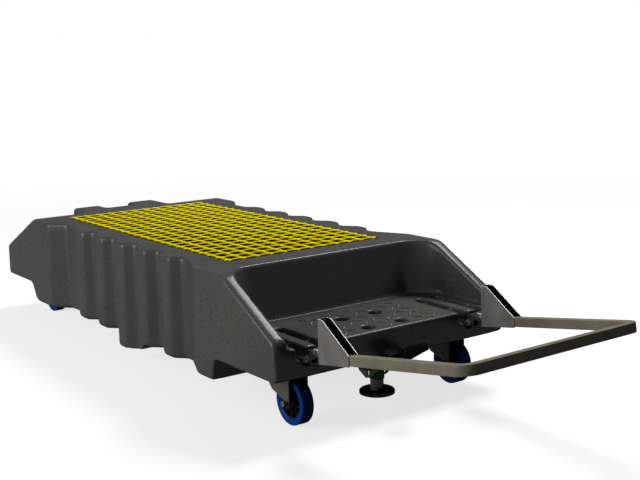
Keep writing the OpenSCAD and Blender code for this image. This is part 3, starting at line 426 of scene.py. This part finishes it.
# A near-white painted highlight and a near-black painted shade for single faces
PAINTED_HIGHLIGHT_STEEL = plain("painted_highlight_steel", rgb(236, 234, 228), 0.3, 0.1)
PAINTED_SHADE_STEEL = plain("painted_shade_steel", rgb(14, 14, 13), 0.6, 0.005)
GLINT = plain("tread_glint", rgb(150, 149, 145), 0.4, 0.05)
print(f"{len(OTHER_LOOKS)} looks for pieces and 3 for faces")

# %% [markdown]
# ## A material for every CAD node
# Screws and pins stay as the CAD made them, too small for softer edges to show, and so do the
# tyres, whose shoulders are round already. They need only a material, and the slots in the record
# say which.

# %% Give every CAD node its material
slot_of = {part["node"]: part["material_slot"] for part in frame["record"]["subparts"]}


def look_of(node):
    """The material of a node: a look of its own, or else that of its slot."""
    own = [look for part, look in OTHER_LOOKS.items() if part in node]
    return own[0] if own else MATERIALS[slot_of[node]]


for name, node in NODES.items():
    node.data.materials.clear()
    node.data.materials.append(look_of(name))
print({slot: list(slot_of.values()).count(slot) for slot in MATERIALS})

# %% [markdown]
# ## From a CAD node to a finished piece
# A CAD node's mesh is never edited. It is copied into a bmesh, where its loose triangles are
# joined, and the new piece then stands for the node and rides on the same body. The piece's object
# stays at the origin, unturned, because its place is in its mesh.


# %% Copy a node, finish a piece
def copy_of(node):
    """A bmesh of a CAD node with its loose triangles joined."""
    mesh = bmesh.new()
    mesh.from_mesh(NODES[node].data)
    bmesh.ops.remove_doubles(mesh, verts=mesh.verts, dist=1e-6)
    return mesh


def finish(name, mesh, body, slot, *replaced, smooth=35):
    """Turns a bmesh into a piece on a body. Edges sharper than smooth degrees stay sharp."""
    piece = object_of(name, mesh)
    piece.data.materials.append(MATERIALS[slot])
    for polygon in piece.data.polygons:
        polygon.use_smooth = True
    if smooth < 180:
        piece.data.set_sharp_from_angle(angle=math.radians(smooth))
    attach(piece, body)
    if replaced:
        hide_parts(*replaced)
    return piece


# %% [markdown]
# ## The moulded body
# The moulding's corners are round, and the CAD body has them cut straight. A bevel is apt to tangle
# where so many edges meet. Remeshing the body into small cubes and smoothing the result a little
# rounds all its corners alike, inside and out.


# %% A mesh with its modifiers applied
def baked(piece):
    """The mesh of a piece with its modifiers applied, as a bmesh. The piece itself is removed."""
    graph = bpy.context.evaluated_depsgraph_get()
    mesh = bmesh.new()
    mesh.from_mesh(piece.evaluated_get(graph).to_mesh())
    bpy.data.objects.remove(piece)
    return mesh


# %% Body with soft edges
VOXEL = 4 * MM
SHELF = 186 * MM
BAY_REAR = -300 * MM

cut = copy_of("body_shell")
# The tread marks are flattened here and come back below with soft edges
for vert in cut.verts:
    if SHELF < vert.co.z < SHELF + 2 * MM and vert.co.y < BAY_REAR:
        vert.co.z = SHELF
rough = object_of("rough", cut)
remesh = rough.modifiers.new("remesh", "REMESH")
remesh.mode = "VOXEL"
remesh.voxel_size = VOXEL
relax = rough.modifiers.new("relax", "SMOOTH")
relax.factor = 0.5
relax.iterations = 3
shell = baked(rough)
print(f"body after the remesh: {len(shell.faces)} faces")

# %% [markdown]
# ## Rounder edges above and around the shelf
# The photograph shows the rims of the deck, the cheeks and the sides rounder than the grooves and
# cups in the shelf. So the vertices above the shelf and those far out at the sides are smoothed
# some more, and the rest are left. A remesh spends as many faces on a flat wall as on a corner, and
# Decimate then joins those that lie flat.

# %% Rounder edges above and around the shelf
KEEP_CRISP = 22 * MM
OUT_AT_SIDE = 290 * MM
KEPT_FACES = 0.24
ROUNDS = 6

outer = [v for v in shell.verts if v.co.z > SHELF + KEEP_CRISP or abs(v.co.x) > OUT_AT_SIDE]
for _ in range(ROUNDS):
    bmesh.ops.smooth_vert(
        shell, verts=outer, factor=0.5, use_axis_x=True, use_axis_y=True, use_axis_z=True
    )
fine = object_of("fine", shell)
thin = fine.modifiers.new("thin", "DECIMATE")
thin.ratio = KEPT_FACES
shell = baked(fine)
print(f"body: {len(shell.faces)} faces")
finish("body_moulded", shell, "chassis", "polyethylene", "body_shell", smooth=180)

# %% [markdown]
# ## Tread marks
# The shelf carries raised marks, like those of chequer plate, so that cans don't slide. Each is a
# rounded bar with a bevelled top, turned 45 degrees one way or the other. A circle whose halves are
# pulled apart gives the bar's outline, and one extrude and one bevel then work on all the marks at
# once.

# %% Places of the tread marks, in millimetres from the body's front face
# A mark's middle stays as far as CUP_CLEAR from the middle of a cup
MARK_STEP, FIRST_ROW, LAST_ROW = 31, 26, 196
MARK_STRAIGHT, MARK_ROUND = 8, 3
CUPS = [(side * 46.5, row) for side in (-1, 1) for row in (44, 139)]
CUP_CLEAR = 29.5

spots = []
for i in range(-4, 5):
    for j in range(6):
        x = i * MARK_STEP
        y = FIRST_ROW + j * MARK_STEP + (0 if i % 2 == 0 else MARK_STEP / 2)
        if min(math.dist((x, y), cup) for cup in CUPS) > CUP_CLEAR and y < LAST_ROW:
            spots.append((x, y, 45 if (i + j) % 2 == 0 else -45))
print(f"{len(spots)} tread marks")

# %% Outlines of the tread marks
FRONT = -530.5 * MM
MARK_HIGH, MARK_SUNK, MARK_BEVEL = 1.4 * MM, 0.5 * MM, 0.8 * MM

marks = bmesh.new()
for x, y, degrees in spots:
    bar = bmesh.ops.create_circle(marks, cap_ends=True, radius=1, segments=16)["verts"]
    turn = Matrix.Rotation(math.radians(degrees), 3, "Z")
    place = Vector((x * MM, FRONT + y * MM, SHELF + MARK_HIGH))
    for vert in bar:
        pull = math.copysign(MARK_STRAIGHT, vert.co.x) if abs(vert.co.x) > 0.01 else 0
        vert.co = Vector((vert.co.x * MARK_ROUND + pull, vert.co.y * MARK_ROUND, 0)) * MM
        vert.co = turn @ vert.co + place
print(f"{len(marks.faces)} outlines")

# %% Tread marks on the shelf
extruded = bmesh.ops.extrude_face_region(marks, geom=list(marks.faces))["geom"]
for vert in [g for g in extruded if isinstance(g, bmesh.types.BMVert)]:
    vert.co.z = SHELF - MARK_SUNK
bmesh.ops.recalc_face_normals(marks, faces=marks.faces)
rim = [e for e in marks.edges if min(v.co.z for v in e.verts) > SHELF]
bmesh.ops.bevel(marks, geom=rim, offset=MARK_BEVEL, segments=2, profile=0.5, affect="EDGES", material=-1)
treads = finish("tread_marks", marks, "chassis", "polyethylene", smooth=60)
print(f"tread marks: {len(treads.data.polygons)} faces")

# %% [markdown]
# ## Glint on the tread marks
# Every other mark glints in the photograph, along the rim that faces one way. A paler material on
# that side imitates the glint, and the faces for it are picked by the way they look.

# %% Glint on the tread marks
treads.data.materials.append(GLINT)
glinting = 0
for polygon in treads.data.polygons:
    if polygon.normal.z > 0.3 and polygon.normal.x > 0.12 and polygon.normal.y < -0.12:
        polygon.material_index = 1
        glinting += 1
print(f"{glinting} pale faces")

# %% [markdown]
# ## The grating
# A moulded grating of glass fibre has bars that widen where they cross. It is drawn flat: one cross
# of four arms, set down 12 by 24 times. A bevel of the crosses' inner corners makes the fillets.
# Where arms meet, their ends are merged, so lifting the sheet raises walls only round the meshes
# and along the rim.

# %% A flat sheet of crosses
COLUMNS, ROWS = 12, 24
PITCH, HALF, FILLET, STUB = 38 * MM, 3.25 * MM, 6 * MM, 11 * MM
GRATING_MID = Vector((0, FRONT + 784 * MM, 0))


def sheet_of_crosses(height, slimmer=0.0):
    """A flat mesh of crosses whose bars are slimmer by so much on every side."""
    sheet = bmesh.new()
    half = HALF - slimmer
    inner = []
    for i in range(COLUMNS):
        for j in range(ROWS):
            centre = GRATING_MID + PITCH * Vector((i - (COLUMNS - 1) / 2, j - (ROWS - 1) / 2, 0))
            at_rim = (i == COLUMNS - 1, j == ROWS - 1, i == 0, j == 0)
            cross = []
            for quarter, ends_here in enumerate(at_rim):
                reach = STUB - slimmer if ends_here else PITCH / 2
                turn = Matrix.Rotation(math.pi / 2 * quarter, 3, "Z")
                for x, y in ((reach, -half), (reach, half), (half, half)):
                    cross.append(sheet.verts.new(centre + turn @ Vector((x, y, height))))
            sheet.faces.new(cross)
            inner += cross[2::3]
    bmesh.ops.bevel(
        sheet, geom=inner, offset=FILLET + slimmer, segments=3, profile=0.5, affect="VERTICES",
        material=-1,
    )
    bmesh.ops.remove_doubles(sheet, verts=sheet.verts, dist=0.01 * MM)
    flat = bpy.data.meshes.new("flat")
    sheet.to_mesh(flat)
    sheet.free()
    return flat


wide = sheet_of_crosses(GRATING_LOW)
print(f"{len(wide.polygons)} crosses, {len(wide.vertices)} vertices")

# %% [markdown]
# ## Walls and worn edges of the grating
# The bars' upper edges look a little worn. The sheet is lifted in two steps, for the wall and for
# the last millimetre. A second sheet is slimmer by that millimetre, and each upper vertex moves to
# the nearest one of it. A bevel would look nearly alike, but this way the fillets above and below
# keep the same centres.

# %% Grating with worn edges
WORN = 1 * MM

panel = bmesh.new()
panel.from_mesh(wide)
lifted = list(panel.faces)
for step in (GRATING_HIGH - WORN - GRATING_LOW, WORN):
    lifted = bmesh.ops.extrude_face_region(panel, geom=lifted)["geom"]
    raised = [g for g in lifted if isinstance(g, bmesh.types.BMVert)]
    bmesh.ops.translate(panel, verts=raised, vec=(0, 0, step))
slim = sheet_of_crosses(GRATING_HIGH, slimmer=WORN)
places = KDTree(len(slim.vertices))
for vert in slim.vertices:
    places.insert(vert.co, vert.index)
places.balance()
for vert in raised:
    vert.co = places.find(vert.co)[0]
bmesh.ops.recalc_face_normals(panel, faces=panel.faces)
print(f"grating: {len(panel.faces)} faces")
finish("grating_moulded", panel, "grating_panel", "grating_yellow", "grating", smooth=40)

# %% [markdown]
# ## Bent and cut steel, wheels and the floor lock
# Sheet and tube never end in a knife edge. Each of these CAD nodes gets its flat faces joined again
# and its sharp edges bevelled a little, which is what catches the light along the tube and the
# gussets. A bevel in the shader would do for a picture; this one is in the meshes.

# %% Soften the edges of a CAD node
BODY_OF = {node: body for body, nodes in frame["record"]["behaviour"]["bodies"].items() for node in nodes}


def soften(node, width, segments=2, sharp=40):
    """A piece like a CAD node, with bevels of so many millimetres."""
    mesh = copy_of(node)
    bmesh.ops.dissolve_limit(mesh, angle_limit=math.radians(1), verts=mesh.verts, edges=mesh.edges)
    edges = [e for e in mesh.edges if e.is_manifold and e.calc_face_angle() > math.radians(sharp)]
    bmesh.ops.bevel(
        mesh, geom=edges, offset=width * MM, segments=segments, profile=0.5, affect="EDGES",
        material=-1, clamp_overlap=True,
    )
    piece = finish(node + "_soft", mesh, BODY_OF[node], slot_of[node], node)
    piece.data.materials[0] = look_of(node)
    return piece


# %% Soften the steel, the rims and the floor lock
PAIRED_WIDTHS = {"gusset": 0.4, "mount_tube": 0.6, "hinge_lug": 0.8, "front_fork": 0.5, "rear_fork": 0.5}
LOCK_NODES = ("lock_housing", "lock_pedal", "lock_pedal_tread", "lock_foot", "lock_sleeve")

softened = {"handle_tube": soften("handle_tube", 1.8, 3)}
for side in ("left", "right"):
    for part, width in PAIRED_WIDTHS.items():
        softened[f"{part}_{side}"] = soften(f"{part}_{side}", width)
    for end in ("front", "rear"):
        softened[f"{end}_rim_{side}"] = soften(f"{end}_rim_{side}", 0.4, 1)
for node in LOCK_NODES:
    softened[node] = soften(node, 0.5)
print({node: len(piece.data.polygons) for node, piece in softened.items()})

# %% [markdown]
# ## Inside and edges of the gussets
# The gussets are bent from sheet. Their inside gets a near-black material as painted shade, and
# their cut edges a near-white one as painted highlight.
# A face counts as inside when it lies between the two flanges and in front of the web.

# %% Painted shade inside the gussets and a painted highlight on their cut edges
# A place within the web's sheet, and a little less than the sheet's thickness
IN_WEB, FLANGE = -566.5 * MM, 1.3 * MM

for side in ("left", "right"):
    piece = softened[f"gusset_{side}"]
    piece.data.materials.append(PAINTED_SHADE_STEEL)
    piece.data.materials.append(PAINTED_HIGHLIGHT_STEEL)
    across = [v.co.x for v in piece.data.vertices]
    low, high = min(across) + FLANGE, max(across) - FLANGE
    for polygon in piece.data.polygons:
        # Index 1 paints shade inside the channel, index 2 paints a highlight on the cut edges
        between = low < polygon.center.x < high
        inward = abs(polygon.normal.x) > 0.9 or polygon.normal.y < -0.9
        if between and inward and polygon.center.y < IN_WEB:
            polygon.material_index = 1
        elif not between and polygon.normal.z > 0.5:
            polygon.material_index = 2
    print(piece.name, [sum(p.material_index == i for p in piece.data.polygons) for i in range(3)])
